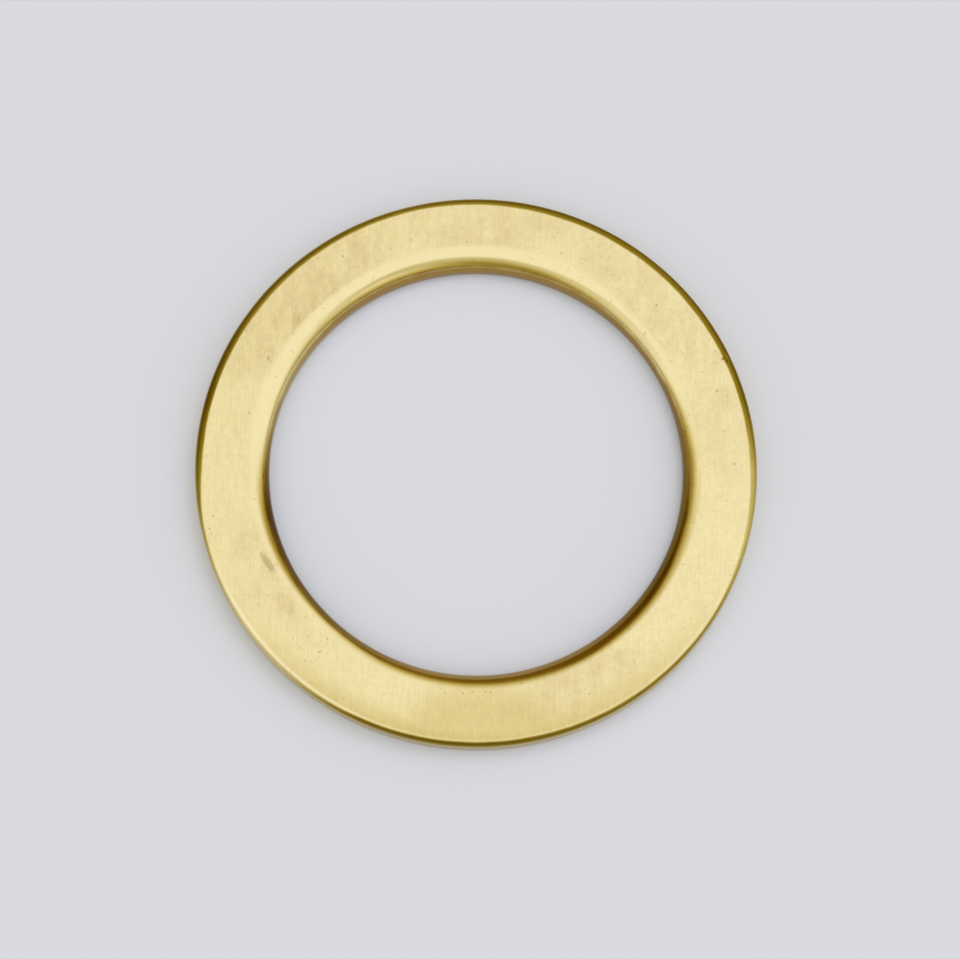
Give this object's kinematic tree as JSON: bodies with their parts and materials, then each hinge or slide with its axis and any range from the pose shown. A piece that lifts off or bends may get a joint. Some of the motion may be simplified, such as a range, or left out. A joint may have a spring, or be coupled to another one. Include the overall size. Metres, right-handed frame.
{
  "type": "flat strap ring",
  "caption": "Flat solid brass ring with a smoothly rounded hole edge, which joins straps, webbing and snap hooks on bags, belts and harness.",
  "frame": {"origin": "on the hole's axis, at the height of the bottom face", "axes": "+Z along the hole's axis, out of the bright upper face; +X to the right and +Y away from the viewer, along the brushed grain"},
  "size_m": [0.0516, 0.0516, 0.0028],
  "materials": {
    "brass": "solid brass, brushed along one direction on the flat face, rubbed bright with darker tarnish on the edges"
  },
  "bodies": {
    "root": {"ring": "brass"}
  },
  "joints": []
}
